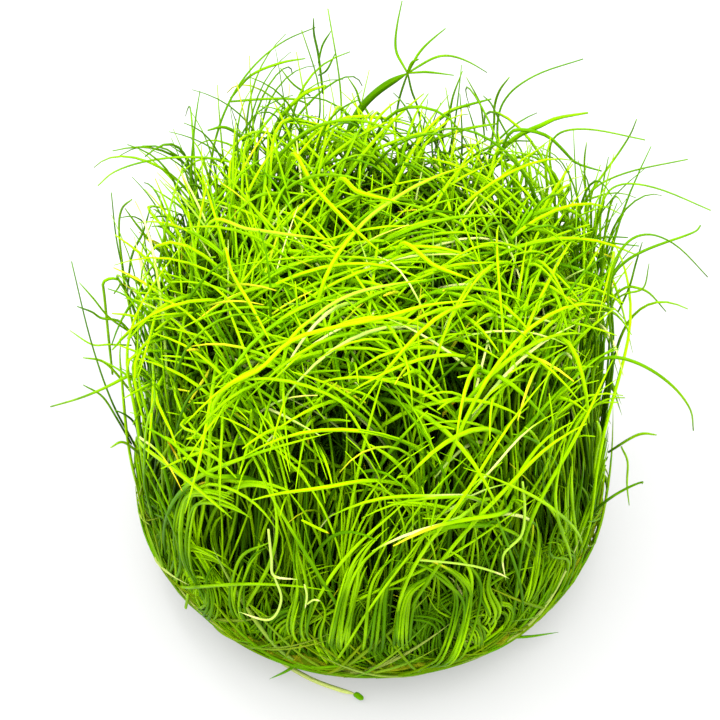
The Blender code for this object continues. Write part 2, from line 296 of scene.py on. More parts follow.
def cup_distance(points, form):
    """How far points are outside the moulded form, negative inside it, and the directions out of it."""
    x, y, z = points[..., 0], points[..., 1], points[..., 2]
    radius = np.maximum(np.hypot(x, y), 1e-9)
    upper = z > form.canopy_height / 2
    shoulder = form.canopy_height - form.canopy_rounding
    wall = np.interp(z, [form.foot_rounding, shoulder], [form.foot_radius, form.shoulder_radius])
    rounding = np.where(upper, form.canopy_rounding, form.foot_rounding)
    side = np.maximum(radius - (wall - rounding), 0)
    end = np.maximum(np.where(upper, z - shoulder, form.foot_rounding - z), 0)
    reach = np.maximum(np.hypot(side, end), 1e-9)
    out = np.stack([x / radius * side, y / radius * side, np.where(upper, end, -end)], axis=-1)
    return reach - rounding, out / reach[..., None]


def grow(feet, heading, steps, pull, skin, form, cling=0.0, free=0):
    """Routes of strands, grown a step at a time from feet.

    steps holds each strand's step lengths, pull gives the bend at a place in turns of a radian a metre, and skin is
    how deep under the form's surface each strand stays, or how proud of its canopy a strand may stand. Cling draws
    strands to that depth from inside as well.
    The last free steps are not held by the form.
    """
    at, heading = feet, unit(heading)
    route = [at]
    for k in range(steps.shape[1]):
        step = steps[:, k, None]
        heading = unit(heading + pull(at, heading, k) * step)
        at = at + heading * step
        if k < steps.shape[1] - free:
            distance, out = cup_distance(at, form)
            depth = np.where(skin < 0, skin * ramp(at[:, 2], 30 * MM, 42 * MM), skin)
            off = (distance + depth)[:, None]
            at = at - out * np.where(off > 0, off, cling * off)
            outward = np.sum(heading * out, axis=1, keepdims=True)
            held = (off > 0) | (cling > 0)
            heading = unit(heading - out * np.where(held, np.maximum(outward, 0), 0))
        route.append(at)
    return eased(np.stack(route, axis=1))


def eased(routes, passes=2):
    """Routes with their sharp turns rounded off."""
    for _ in range(passes):
        inner = (routes[:, :-2] + 2 * routes[:, 1:-1] + routes[:, 2:]) / 4
        routes = np.concatenate([routes[:, :1], inner, routes[:, -1:]], axis=1)
    return routes


@dataclass
class Strands:
    """Strands of one kind. Each array has one entry for each strand."""

    routes: np.ndarray
    width: np.ndarray
    tint: np.ndarray
    owner: np.ndarray
    age: np.ndarray
    pale: np.ndarray
    # Painted shade of each strand: 1 shows the full colour, less darkens it towards deep green.
    shade: np.ndarray
    taper: float = 0.45
    blunt: float = 0.1
    sides: int = 5
    flat: float = 0.7

    def where(self, kept):
        per_strand = ("routes", "width", "tint", "owner", "age", "pale", "shade")
        return replace(self, **{name: getattr(self, name)[kept] for name in per_strand})


def one_strand(route, width, owner=0, tint=0.3, age=0.0, pale=0.0, shade=1.0, **shape):
    """A single strand along a route."""
    looks_of_it = dict(width=width, owner=owner, tint=tint, age=age, pale=pale, shade=shade)
    return Strands(route[None], **{name: np.array([value]) for name, value in looks_of_it.items()}, **shape)


def cell_points(chance, owners, form, near=0.0, far=1.0):
    """A random place in the cell of each owner's tuft, near to far across its ring, and the tuft's direction."""
    rings, middles, spans = [0], [0.0], [math.tau]
    for ring in range(1, form.rings + 1):
        for index in range(6 * ring):
            rings.append(ring)
            middles.append(math.tau * index / (6 * ring))
            spans.append(math.tau / (6 * ring))
    ring, middle, span = (np.array(values)[owners] for values in (rings, middles, spans))
    band = form.foot_radius / (form.rings + 0.5)
    low = np.maximum(ring - 0.5, 0) * band
    high = (ring + 0.5) * band
    radius = np.sqrt(chance.uniform((low + (high - low) * near) ** 2, (low + (high - low) * far) ** 2))
    radius = np.minimum(radius, form.foot_radius - 2.4 * MM)
    angle = middle + span * chance.uniform(-0.5, 0.5, len(owners))
    return radius, angle


def canopy_top(radius, form):
    """Height of the moulded form above a place at this radius."""
    past = np.clip(radius - (form.shoulder_radius - form.canopy_rounding), 0, form.canopy_rounding)
    return form.canopy_height - form.canopy_rounding + np.sqrt(form.canopy_rounding**2 - past**2)


def upright(radius, angle, height):
    """Points at a radius, angle and height, which can be arrays."""
    radius, angle, height = np.broadcast_arrays(radius, angle, height)
    return np.stack([radius * np.cos(angle), radius * np.sin(angle), height], axis=-1)


def looks(chance, n, straw=0.06, cream=0.03, shade=1.0):
    """Random tint, age and paleness of strands, the paleness partly bleaching and partly painted glints, and their
    painted shade: how much light their colour shows.
    """
    tint = chance.uniform(0, 1, n)
    age = np.where(chance.uniform(size=n) < straw, chance.uniform(0.4, 1, n), 0)
    pale = np.where(chance.uniform(size=n) < cream, chance.uniform(0.6, 1.5, n), 0)
    return dict(tint=tint, age=age, pale=pale, shade=np.full(n, shade))


def clear_of_hollows(chance, routes, hollows, kept_share):
    """Which strands stay: those that cross a hollow of the canopy are left out, apart from a share of them."""
    kept = np.ones(len(routes), bool)
    for x, y, radius, floor in hollows:
        inside = np.hypot(routes[..., 0] - x * MM, routes[..., 1] - y * MM) < radius * MM
        kept &= ~np.any(inside & (routes[..., 2] > floor * MM), axis=1) | (chance.uniform(size=len(routes)) < kept_share)
    return kept


def bow_length(feet, lean, bow, sharpness, depth, form):
    """How long leaves are whose highest point is this deep under the form, if they bend by bow over their length."""
    shares = np.linspace(0, 1, 41)
    turn = bow[:, None] * shares ** sharpness[:, None]
    heights = np.cumsum(np.cos(turn), axis=1) / len(shares)
    reaches = np.cumsum(np.sin(turn), axis=1) / len(shares)
    row = np.arange(len(feet))
    top = np.argmax(heights, axis=1)
    size = np.full(len(feet), 40 * MM)
    for _ in range(4):
        place = feet + lean * (size * reaches[row, top])[:, None]
        size = (canopy_top(np.hypot(place[:, 0], place[:, 1]), form) - depth - feet[:, 2]) / heights[row, top]
    return size


@dataclass
class Bows:
    """How leaves bow over: which way, how far in radians, how late, how deep under the form, and how they twist."""

    way: np.ndarray
    turn: np.ndarray
    lateness: np.ndarray
    depth: np.ndarray
    twist: np.ndarray


def bowed_routes(feet, bows, form, sway, free=4, sway_bend=5, fine=14):
    """Routes of leaves that rise straight and bow over with their highest point at a depth under the form."""
    lean = upright(1.0, bows.way, 0.0)
    axis = np.cross(np.array([0, 0, 1.0]), lean)
    size = bow_length(feet, lean, bows.turn, bows.lateness, bows.depth, form)
    shares = np.array([0.11] * 4 + [0.56 / fine] * fine)
    middles = np.cumsum(shares) - shares / 2

    def pull(at, heading, k):
        bend = bows.turn * bows.lateness * middles[k] ** (bows.lateness - 1) / size
        turned = np.cross(np.array([0, 0, 1.0]), heading) * (bows.twist * middles[k])[:, None]
        return sway(at) * sway_bend + np.cross(axis, heading) * bend[:, None] + turned

    heading = lean * 0.1 + np.array([0, 0, 1.0])
    return grow(feet, heading, size[:, None] * shares, pull, np.maximum(bows.depth, -1 * MM), form, free=free)


def canopy_leaves(chance, settings, sway):
    """Long leaves that rise through the clump and bow over at the canopy."""
    form, leaves = settings.form, settings.leaves
    owner = np.repeat(np.arange(len(TUFTS)), leaves.canopy_count)
    n = len(owner)
    radius, angle = cell_points(chance, owner, form, 0.02, 0.88)
    feet = upright(radius, angle, MAT_TOP)
    behind = ramp(feet[:, 1], 4 * MM, 22 * MM)

    along_y = chance.choice([-1, 1], n) * math.pi / 2 + chance.normal(0, 0.7, n)
    way = np.where(chance.uniform(size=n) < 0.45, along_y, chance.uniform(0, math.tau, n))
    inward = angle + chance.choice([-1, 1], n) * np.radians(chance.uniform(75, 180, n))
    at_wall = (radius > form.foot_radius * 0.66) & (chance.uniform(size=n) < 0.85)
    way = np.where(at_wall, inward, way)
    turn = np.radians(chance.uniform(25, 145, n)) * (1 - 0.7 * behind * np.sqrt(chance.uniform(0, 1, n)))
    depth = chance.gamma(1.5, 2.3, n) * MM - 1.3 * MM + behind * chance.uniform(1, 11, n) * MM
    bows = Bows(way, turn, chance.uniform(2.0, 4.2, n), depth, chance.normal(0, 15, n))
    routes = bowed_routes(feet, bows, form, sway)
    width = leaves.width * (chance.uniform(0.65, 1.15, n) + 0.12 * behind)
    draped = np.any((cup_distance(routes, form)[0] > -2 * MM)[:, 6:] & (routes[:, 6:, 2] < 36 * MM), axis=1)
    outside = np.hypot(routes[..., 0], routes[..., 1]) > form.shoulder_radius + 0.3 * MM
    past_edge = np.any(outside & (routes[..., 1] > -19 * MM), axis=1)
    kept = clear_of_hollows(chance, routes, HOLLOWS, 0.25) & (~draped | (chance.uniform(size=n) < 0.4))
    kept &= ~past_edge | (chance.uniform(size=n) < 0.08)
    kept &= np.all(routes[..., 1] > -33.5 * MM, axis=1)
    strands = Strands(routes, width, owner=owner, taper=0.3, blunt=0.3, **looks(chance, n, 0.04, 0.11))
    strands.width = width * np.where(strands.pale > 0, 0.75, 1)
    # Painted shade: leaves whose feet stand at the back are darker.
    strands.shade *= 1 - behind * chance.uniform(0.35, 0.75, n)
    return strands.where(kept)


def outer_feet(chance, settings, count, near, far):
    """Feet in the outer tufts: owner, angle round the clump and place, with fewer at the front than at the back."""
    form = settings.form
    owner = np.repeat(np.arange(len(TUFTS) - 6 * form.rings, len(TUFTS)), count)
    radius, angle = cell_points(chance, owner, form, near, far)
    kept = chance.uniform(size=len(owner)) < 0.12 + 0.88 * ramp(np.sin(angle), -0.75, 0.4)
    owner, radius, angle = owner[kept], radius[kept], angle[kept]
    return owner, angle, upright(radius, angle, MAT_TOP)


def hooked_leaves(chance, settings, sway):
    """Thin leaves, darkened with painted shade, that stand above the canopy's edge and hook over, most of them at the
    back.
    """
    owner, angle, feet = outer_feet(chance, settings, settings.leaves.hook_count, 0.0, 0.9)
    n = len(owner)
    sideways = angle + chance.choice([-1, 1], n) * math.pi / 2 + chance.normal(0, 0.7, n)
    bows = Bows(sideways, np.radians(chance.uniform(50, 170, n)), chance.uniform(4, 9, n),
                chance.uniform(-6.5, 4, n) * MM, chance.normal(0, 15, n))
    routes = bowed_routes(feet, bows, settings.form, sway, free=12, sway_bend=12, fine=16)
    width = settings.leaves.width * chance.uniform(0.65, 1.05, n)
    # Painted shade and less lime make these leaves dark, as if seen against the light.
    given = looks(chance, n, 0.04, 0.0, shade=0.5)
    given["tint"] = given["tint"] * 0.6
    past_side = np.any((np.abs(routes[..., 0]) > 30 * MM) & (routes[..., 1] < 17 * MM), axis=1)
    past_side |= np.any(routes[..., 1] < -33 * MM, axis=1)
    kept = ~past_side | (chance.uniform(size=n) < 0.1)
    kept &= np.all(routes[..., 1] > -36 * MM, axis=1)
    return Strands(routes, width, owner=owner, taper=0.5, blunt=0.3, **given).where(kept)


def standing_tips(chance, settings, sway):
    """Thin leaves that climb inside the wall and lean out of it with their tips."""
    form = settings.form
    owner, angle, feet = outer_feet(chance, settings, settings.leaves.tip_count, 0.5, 0.95)
    n = len(owner)
    way = upright(1.0, angle + chance.normal(0, 0.8, n), 0.0)
    bend = chance.uniform(10, 55, n)[:, None]
    rings = 16

    def pull(at, heading, k):
        return sway(at) * 14 + (way * bend if k > rings * 0.6 else 0)

    steps = np.repeat(chance.uniform(26, 48, n)[:, None] * MM / rings, rings, axis=1)
    heading = upright(chance.uniform(0, 0.15, n), chance.uniform(0, math.tau, n), 1.0)
    routes = grow(feet, heading, steps, pull, chance.uniform(0.2, 2, n) * MM, form, free=5)
    width = settings.leaves.width * chance.uniform(0.6, 0.95, n)
    past_side = np.any((np.abs(routes[..., 0]) > 31.5 * MM) & (routes[..., 1] < 17 * MM), axis=1)
    past_side |= np.any(routes[..., 1] < -33 * MM, axis=1)
    kept = ~past_side | (chance.uniform(size=n) < 0.2)
    # Painted shade darkens these tips.
    given = looks(chance, n, 0.04, 0.0, shade=0.55)
    return Strands(routes, width, owner=owner, taper=0.5, blunt=0.3, **given).where(kept)


def inner_leaves(chance, settings, sway):
    """Shorter leaves that stand between the long ones and fill the clump below its canopy."""
    form, leaves = settings.form, settings.leaves
    owner = np.repeat(np.arange(len(TUFTS)), leaves.inner_count)
    n = len(owner)
    radius, angle = cell_points(chance, owner, form, 0.0, 0.95)
    feet = upright(radius, angle, MAT_TOP)
    own = upright(chance.uniform(0, 150, n), chance.uniform(0, math.tau, n), 0.0)
    steps = np.repeat(chance.uniform(16, 42, n)[:, None] * MM / 10, 10, axis=1)
    heading = upright(chance.uniform(0, 0.3, n), chance.uniform(0, math.tau, n), 1.0)
    skin = chance.uniform(1, 5, n) * MM
    routes = grow(feet, heading, steps, lambda at, heading, k: sway(at) * 14 + own * ramp(k / 10, 0.4, 0.9), skin, form)
    width = leaves.width * chance.uniform(0.6, 1.0, n)
    return Strands(routes, width, owner=owner, sides=4, blunt=0.3, **looks(chance, n, 0.02, 0.0))


def shoulder_leaves(chance, settings, sway):
    """Short leaves that bend over below the canopy's edge, every way, so that the wall has no bare upper part."""
    form, leaves = settings.form, settings.leaves
    outer = 6 * form.rings
    owner = np.repeat(np.arange(len(TUFTS) - outer, len(TUFTS)), leaves.shoulder_count)
    n = len(owner)
    radius, angle = cell_points(chance, owner, form, 0.1, 0.9)
    feet = upright(radius, angle, MAT_TOP)
    way = angle + chance.normal(0, 1.4, n)
    bows = Bows(way, np.radians(chance.uniform(30, 150, n)), chance.uniform(3, 7, n),
                chance.uniform(1, 15, n) * MM, chance.normal(0, 20, n))
    routes = bowed_routes(feet, bows, form, sway, sway_bend=12, fine=10)
    kept = np.all(cup_distance(routes, form)[0] < 1.2 * MM, axis=1) & clear_of_hollows(chance, routes, HOLLOWS, 0.3)
    width = leaves.width * chance.uniform(0.6, 0.95, n)
    # Painted shade darkens these leaves a little.
    return Strands(routes, width, owner=owner, blunt=0.3, **looks(chance, n, 0.08, 0.05, shade=0.7)).where(kept)


def round_the_wall(at):
    """At each point: the level direction out of the clump and the one round it."""
    outward = unit(at * np.array([1.0, 1.0, 0.0]))
    return outward, np.cross(np.array([0, 0, 1.0]), outward)


def wall_point(angle, height, depth, form):
    """Points this deep under the wall and its rounded foot, at an angle round the clump."""
    drop = np.maximum(form.foot_rounding - height, 0)
    radius = form.foot_radius - form.foot_rounding + np.sqrt(np.maximum(form.foot_rounding**2 - drop**2, 0))
    return upright(radius - depth, angle, height)


def lock_of(chance, centres, size, spacing, owner, width, form, converge=0.5):
    """Leaves side by side along each centre line, closer together towards their tips."""
    locks, rings, _ = centres.shape
    lock = np.repeat(np.arange(locks), size)
    n = len(lock)
    place = np.tile(np.arange(size) - (size - 1) / 2, locks) + chance.normal(0, 0.25, n)
    start = chance.uniform(0, 0.05, n)
    end = chance.uniform(0.5, 1.0, n)
    shares = start[:, None] + (end - start)[:, None] * np.linspace(0, 1, rings)
    at = shares * (rings - 1)
    low = np.minimum(at.astype(int), rings - 2)
    part = (at - low)[..., None]
    lines = centres[lock[:, None], low] * (1 - part) + centres[lock[:, None], low + 1] * part
    tangents = unit(np.gradient(lines, axis=1))
    _, out = cup_distance(lines, form)
    across = unit(np.cross(out, tangents))
    drift = chance.normal(0, 1.6, (n, 1)) * np.sin(shares * chance.uniform(3, 8, (n, 1)) + chance.uniform(0, 6, (n, 1)))
    beside = (place[:, None] * (1 - converge * shares) + drift) * spacing
    sunk = (place[:, None] / size) ** 2 * 4 * 0.4 * MM + np.abs(chance.normal(0, 0.2, (n, 1))) * MM
    routes = lines + across * beside[..., None] - out * sunk[..., None]
    tint = 0.5 * chance.uniform(0, 1, locks)[lock] + 0.5 * chance.uniform(0, 1, n)
    given = looks(chance, n, 0.012, 0.004)
    given["tint"] = tint
    return Strands(routes, width * chance.uniform(0.8, 1.2, n), owner=owner[lock], sides=4, flat=0.85, taper=0.3,
                   **given)


def wall_leaves(chance, settings, sway):
    """Leaves pressed to the wall in locks, which wave together, curl over or bend in at their ends."""
    form, leaves = settings.form, settings.leaves
    outer = 6 * form.rings
    count = outer * leaves.lock_count
    owner = len(TUFTS) - outer + np.arange(count) // leaves.lock_count
    angle = math.tau * (np.arange(count) + 0.5 + chance.uniform(-0.5, 0.5, count)) / count - math.pi / outer
    depth = chance.uniform(0.2, 2.6, count) * MM
    feet = wall_point(angle, chance.uniform(1.4, 4, count) * MM, depth + 1.0 * MM, form)
    _, around = round_the_wall(feet)
    heading = around * chance.normal(0, 0.5, count)[:, None] + np.array([0, 0, 1.0])
    wave = chance.normal(0, 1, count) * 165
    wave_length = chance.uniform(11, 20, count) * MM
    wave_phase = chance.uniform(0, math.tau, count)
    curls = chance.uniform(size=count) < 0.62
    curl = np.where(curls, chance.choice([-1, 1], count) * chance.uniform(70, 180, count), chance.normal(0, 30, count))
    curl_from = chance.uniform(0.35, 0.7, count)
    size = chance.uniform(20, 34, count) * MM
    rings = 20

    def pull(at, heading, k):
        outward, around = round_the_wall(at)
        waving = np.sin(k / rings * size / wave_length * math.tau + wave_phase) * wave
        late = ramp(k / rings, curl_from - 0.1, curl_from + 0.1)
        inward = -outward * (np.where(curls, 10, 45) * ramp(k / rings, 0.72, 0.95))[:, None]
        upward = np.array([0, 0, 1.0]) * (60 * (1 - ramp(at[:, 2], 4 * MM, 12 * MM)))[:, None]
        return (around * waving[:, None] + np.cross(outward, heading) * (curl * late)[:, None] + inward + upward
                + sway(at) * 14)

    steps = np.repeat(size[:, None] / rings, rings, axis=1)
    centres = grow(feet, heading, steps, pull, depth, form, cling=0.6, free=5)
    return lock_of(chance, centres, leaves.lock_size, leaves.width * 0.68, owner, leaves.width * 0.7, form)


def drawn_locks(chance, settings, sway):
    """The locks and curls that stand out on the front of the wall."""
    form, leaves = settings.form, settings.leaves
    kinds = []
    for size, depth, corners in WALL_LOCKS:
        degrees, heights = (np.array(corners[start::2], float) for start in (0, 1))
        sunk = 2.2 * (1 - ramp(heights, 2, 7))
        line = wall_point(np.radians(degrees), heights * MM, (depth + sunk) * MM, form)
        centre = smooth_route(line, 25)[None]
        owner = np.array([outer_tuft(degrees.mean(), form)])
        kinds.append(lock_of(chance, centre, size + 2, leaves.width * 0.64, owner, leaves.width * 0.72, form, 0.3))
    return kinds


def outer_tuft(degrees, form):
    """Index of the outer tuft behind this direction."""
    outer = 6 * form.rings
    return len(TUFTS) - outer + int(round(degrees / 360 * outer)) % outer


def drawn_runners(chance, settings, sway):
    """Pale runners and plantlets caught in the front of the wall."""
    form = settings.form
    kinds = []
    for width, pale, age, depth, corners in WALL_RUNNERS:
        degrees, heights = (np.array(corners[start::2], float) for start in (0, 1))
        line = wall_point(np.radians(degrees), heights * MM, depth * MM, form)
        kinds.append(one_strand(smooth_route(line, 22), width * MM, outer_tuft(degrees.mean(), form), tint=0.8,
                                age=age, pale=pale, sides=6, flat=0.9, taper=0.4))
    return kinds


def drawn_blades(chance, settings, sway):
    """The long blades that stand out on the canopy, each from its foot on the mat."""
    form, leaves = settings.form, settings.leaves
    kinds = []
    for width, pale, depth, foot, corners in CANOPY_BLADES:
        x, y = (np.array(corners[start::2], float) * MM for start in (0, 1))
        z = canopy_top(np.hypot(x, y), form) - np.linspace(depth + 2, depth, len(x)) * MM
        visible = np.stack([x, y, z], axis=1)
        ground = np.array([foot[0] * MM, foot[1] * MM, MAT_TOP])
        elbow = ground * 0.3 + visible[0] * 0.7 - np.array([0, 0, 3 * MM])
        line = np.concatenate([[ground, elbow], visible])
        kinds.append(one_strand(smooth_route(line, 30), leaves.width * width, nearest_tuft(ground), tint=0.8,
                                pale=pale, sides=6, taper=0.3, blunt=0.2))
    return kinds


def drawn_edge_leaves(chance, settings, sway):
    """Single leaves that cross and hook at the clump's edge and back."""
    kinds = []
    for width, depth, corners in EDGE_LEAVES:
        x, z = (np.array(corners[start::2], float) for start in (0, 1))
        bow = np.sin(np.linspace(0, math.pi, len(x))) * chance.normal(0, 0.8)
        line = np.stack([x, depth + bow, z], axis=1) * MM
        # Painted shade keeps these leaves dark green against the light.
        kinds.append(one_strand(smooth_route(line, 16), width * MM, nearest_tuft(line[0]), tint=chance.uniform(0.1, 0.6),
                                shade=chance.uniform(0.45, 0.62), taper=0.5, blunt=0.4))
    return kinds


def nearest_tuft(place):
    """Index of the tuft whose solid stands nearest to this place."""
    middles = [(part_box(name)[0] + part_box(name)[1]) / 2 for name in TUFTS]
    return min(range(len(TUFTS)), key=lambda k: math.hypot(middles[k].x - place[0], middles[k].y - place[1]))


def loose_wall_leaves(chance, settings, sway):
    """Single leaves that cross the bundles of the wall and bend in over the canopy's edge."""
    form, leaves = settings.form, settings.leaves
    outer = 6 * form.rings
    owner = np.repeat(np.arange(len(TUFTS) - outer, len(TUFTS)), leaves.loose_count)
    n = len(owner)
    radius, angle = cell_points(chance, owner, form, 0.8, 0.95)
    feet = upright(radius, angle, MAT_TOP)
    _, around = round_the_wall(feet)
    lean = around * chance.normal(0, 0.35, n)[:, None]
    curl = chance.normal(0, 30, n)[:, None]

    def pull(at, heading, k):
        outward, _ = round_the_wall(at)
        return sway(at) * 12 + np.cross(outward, heading) * curl * ramp(at[:, 2], 12 * MM, 32 * MM)[:, None]

    steps = np.repeat(chance.uniform(28, 56, n)[:, None] * MM / 24, 24, axis=1)
    skin = chance.uniform(-0.5, 0.8, n) * MM
    routes = grow(feet, lean + np.array([0, 0, 1.0]), steps, pull, skin, form, cling=0.3, free=3)
    width = leaves.width * chance.uniform(0.8, 1.2, n)
    return Strands(routes, width, owner=owner, **looks(chance, n, 0.03, 0.03))


def felted_roots(chance, settings, sway):
    """Roots and runners that run round the rounded foot and wander over the underside."""
    form, roots = settings.form, settings.roots
    n = roots.count
    under = np.arange(n) < n * 0.25
    angle = chance.uniform(0, math.tau, n)
    skin = roots.width * 0.6 + np.abs(chance.normal(0, 0.4, n)) * MM
    feet = wall_point(angle, chance.uniform(0.9, 4.6, n) * MM, skin, form)
    below = upright(15 * MM * np.sqrt(chance.uniform(0, 1, n)), angle, 0.4 * MM)
    feet = np.where(under[:, None], below, feet)
    _, around = round_the_wall(feet)
    wander = np.where(under, 1.2, 0.4)
    heading = around * chance.choice([-1, 1], n)[:, None] + chance.normal(0, 1, (n, 3)) * wander[:, None]
    curl = np.where(under, chance.normal(0, 70, n), chance.normal(0, 8, n))[:, None]

    def pull(at, heading, k):
        _, out = cup_distance(at, form)
        return sway(at * 2.5) * 9 + np.cross(out, heading) * curl

    size = np.where(under, chance.uniform(4, 8, n), chance.uniform(10, 28, n)) * MM
    steps = np.repeat(size[:, None] / 14, 14, axis=1)
    routes = grow(feet, heading, steps, pull, skin, form, cling=1.0)
    width = roots.width * chance.uniform(0.55, 1.2, n)
    pale = 0.6 * chance.uniform(0, 1, n) ** 14
    return Strands(routes[:, 1:], width, owner=np.zeros(n, int), tint=chance.uniform(0, 1, n),
                   age=chance.uniform(0, 0.22, n), pale=pale, shade=np.ones(n), taper=0.6, sides=4, flat=0.8)


def foot_runner(width):
    """The pale runner that comes off the foot, its green bud, and the leaf tips that stick out beside it."""
    stem, bud = (smooth_route(np.array(points, float) * MM, 16) for points in (FOOT_RUNNER, FOOT_BUD))
    tips = [smooth_route(np.array(points, float) * MM, 12) for points in FOOT_TIPS]
    return [one_strand(stem, width * 1.1, pale=0.75, tint=1.0, taper=0.2),
            one_strand(bud, width * 1.5, tint=1.0, taper=0.7, sides=8),
            *[one_strand(tip, width * 0.9, tint=1.0, taper=0.8) for tip in tips]]


# Meshes


def centreline(node, nearness):
    """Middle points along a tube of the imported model, from the end whose corners have the least nearness."""
    places = {}
    for vertex in node.data.vertices:
        places.setdefault(tuple(round(c, 6) for c in vertex.co), []).append(vertex.index)
    corners = list(places)
    which = {index: k for k, corner in enumerate(corners) for index in places[corner]}
    links = [set() for _ in corners]
    for edge in node.data.edges:
        a, b = (which[index] for index in edge.vertices)
        if a != b:
            links[a].add(b)
            links[b].add(a)
    order = sorted(range(len(corners)), key=lambda k: nearness(Vector(corners[k])))
    ring, seen, middles = set(order[:4]), set(), []
    while ring:
        middles.append(sum((Vector(corners[k]) for k in ring), Vector()) / len(ring))
        seen |= ring
        ring = set().union(*(links[k] for k in ring)) - seen
    return middles


def smooth_route(points, count):
    """The points joined by a Catmull-Rom curve and read again at count even shares."""
    points = np.array([tuple(point) for point in points])
    padded = np.concatenate([[2 * points[0] - points[1]], points, [2 * points[-1] - points[-2]]])
    at = np.linspace(0, len(points) - 1 - 1e-9, count)
    k = at.astype(int)
    t = (at - k)[:, None]
    a, b, c, d = (padded[k + shift] for shift in range(4))
    return 0.5 * (2 * b + (c - a) * t + (2 * a - 5 * b + 4 * c - d) * t**2 + (3 * b - a - 3 * c + d) * t**3)


def tube_points(strands):
    """Corner points of the strands' tubes, as strand, ring, corner, xyz."""
    routes = strands.routes
    n, rings, _ = routes.shape
    tangents = unit(np.gradient(routes, axis=1))
    across = np.empty_like(routes)
    across[:, 0] = unit(np.cross(tangents[:, 0], np.where(np.abs(tangents[:, :1, 2]) > 0.9, [[1, 0.2, 0]], [[0, 0, 1]])))
    for k in range(1, rings):
        drift = np.sum(across[:, k - 1] * tangents[:, k], axis=1, keepdims=True)
        across[:, k] = unit(across[:, k - 1] - tangents[:, k] * drift)
    other = np.cross(tangents, across)

    t = np.linspace(0, 1, rings)
    past = np.maximum(0, (t - (1 - strands.taper)) / strands.taper)
    profile = (1 - past**2 * (1 - strands.blunt)) * (0.8 + 0.2 * ramp(t, 0, 0.15))
    radius = strands.width[:, None] / 2 * profile
    turn = np.arange(strands.sides) / strands.sides * math.tau
    wide = np.cos(turn)[None, None, :, None] * across[:, :, None]
    thick = np.sin(turn)[None, None, :, None] * other[:, :, None] * strands.flat
    return routes[:, :, None] + radius[:, :, None, None] * (wide + thick)


def strand_mesh(name, kinds, form):
    """One mesh of all the strands of these kinds, closed at both ends, with maps and looks for the materials."""
    kinds = [kind for kind in kinds if len(kind.routes)]
    total = sum(len(kind.routes) for kind in kinds)
    columns = max(1, math.ceil(math.sqrt(total * 8)))
    rows = math.ceil(total / columns)
    points, corners, sizes, strand_map, bake_map, values = [], [], [], [], [], []
    offset = placed = 0
    for kind in kinds:
        n, rings, _ = kind.routes.shape
        sides = kind.sides
        index = offset + np.arange(n * rings * sides).reshape(n, rings, sides)
        after = np.roll(index, -1, axis=2)
        quads = np.stack([index[:, :-1], after[:, :-1], after[:, 1:], index[:, 1:]], axis=-1).reshape(-1, 4)
        caps = np.concatenate([index[:, 0, ::-1], index[:, -1]])
        points.append(tube_points(kind).reshape(-1, 3))
        corners += [quads.ravel(), caps.ravel()]
        sizes += [np.full(len(quads), 4), np.full(len(caps), sides)]

        lengths = np.linalg.norm(np.diff(kind.routes, axis=1), axis=2)
        along = np.concatenate([np.zeros((n, 1)), np.cumsum(lengths, axis=1)], axis=1)
        u = np.broadcast_to(np.arange(sides + 1) / sides, (n, rings, sides + 1))
        v = np.broadcast_to(along[:, :, None], u.shape)
        share_along = np.broadcast_to((along / along[:, -1:])[:, :, None], u.shape)
        slot = placed + np.arange(n)
        left = (slot % columns)[:, None, None]
        bottom = (slot // columns)[:, None, None]
        bake_u = (left + 0.1 + 0.8 * u) / columns
        bake_v = (bottom + 0.02 + 0.96 * share_along) / rows
        for grid, store in ((np.stack([u, v * 1000], -1), strand_map), (np.stack([bake_u, bake_v], -1), bake_map)):
            quad_uv = np.stack([grid[:, :-1, :-1], grid[:, :-1, 1:], grid[:, 1:, 1:], grid[:, 1:, :-1]], axis=-2)
            cap_uv = np.concatenate([grid[:, 0, -2::-1], grid[:, -1, :-1]])
            store += [quad_uv.reshape(-1, 2), cap_uv.reshape(-1, 2)]

        # Painted shade: the light attribute darkens a strand the deeper it runs under the form's surface, and more low
        # on the wall, times the strand's own painted shade.
        depth = -cup_distance(kind.routes, form)[0]
        covered = ramp(depth, -1.5 * MM, 0.3 * MM)
        painted_shade_by_height = 1 - 0.6 * covered * (1 - ramp(kind.routes[..., 2], 20 * MM, 42 * MM))
        per_ring = {
            "along": along / along[:, -1:],
            "tint": np.broadcast_to(kind.tint[:, None], (n, rings)),
            "age": np.broadcast_to(kind.age[:, None], (n, rings)),
            "pale": np.broadcast_to(kind.pale[:, None], (n, rings)),
            "light": kind.shade[:, None] * (1 - ramp(depth, 0, 13 * MM)) * painted_shade_by_height,
        }
        values.append({key: np.repeat(value.reshape(-1), sides) for key, value in per_ring.items()})
        offset += n * rings * sides
        placed += n

    mesh = bpy.data.meshes.new(name)
    points = np.concatenate(points)
    corners, sizes = np.concatenate(corners), np.concatenate(sizes)
    mesh.vertices.add(len(points))
    mesh.vertices.foreach_set("co", points.ravel())
    mesh.loops.add(len(corners))
    mesh.loops.foreach_set("vertex_index", corners)
    mesh.polygons.add(len(sizes))
    mesh.polygons.foreach_set("loop_start", np.cumsum(sizes) - sizes)
    mesh.update(calc_edges=True)
    for map_name, store in ((BAKE_MAP, bake_map), (STRAND_MAP, strand_map)):
        layer = mesh.uv_layers.new(name=map_name)
        layer.uv.foreach_set("vector", np.concatenate(store).ravel())
    for key in values[0]:
        attribute = mesh.attributes.new(key, "FLOAT", "POINT")
        attribute.data.foreach_set("value", np.concatenate([value[key] for value in values]))
    mesh.shade_smooth()
    return mesh


def add_piece(name, mesh, finish, slot, *nodes):
    """Puts a mesh in the scene in place of its nodes."""
    piece = bpy.data.objects.new(name, mesh)
    bpy.context.scene.collection.objects.link(piece)
    mesh.materials.append(finish)
    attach(piece, "root")
    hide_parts(*nodes)
    return piece


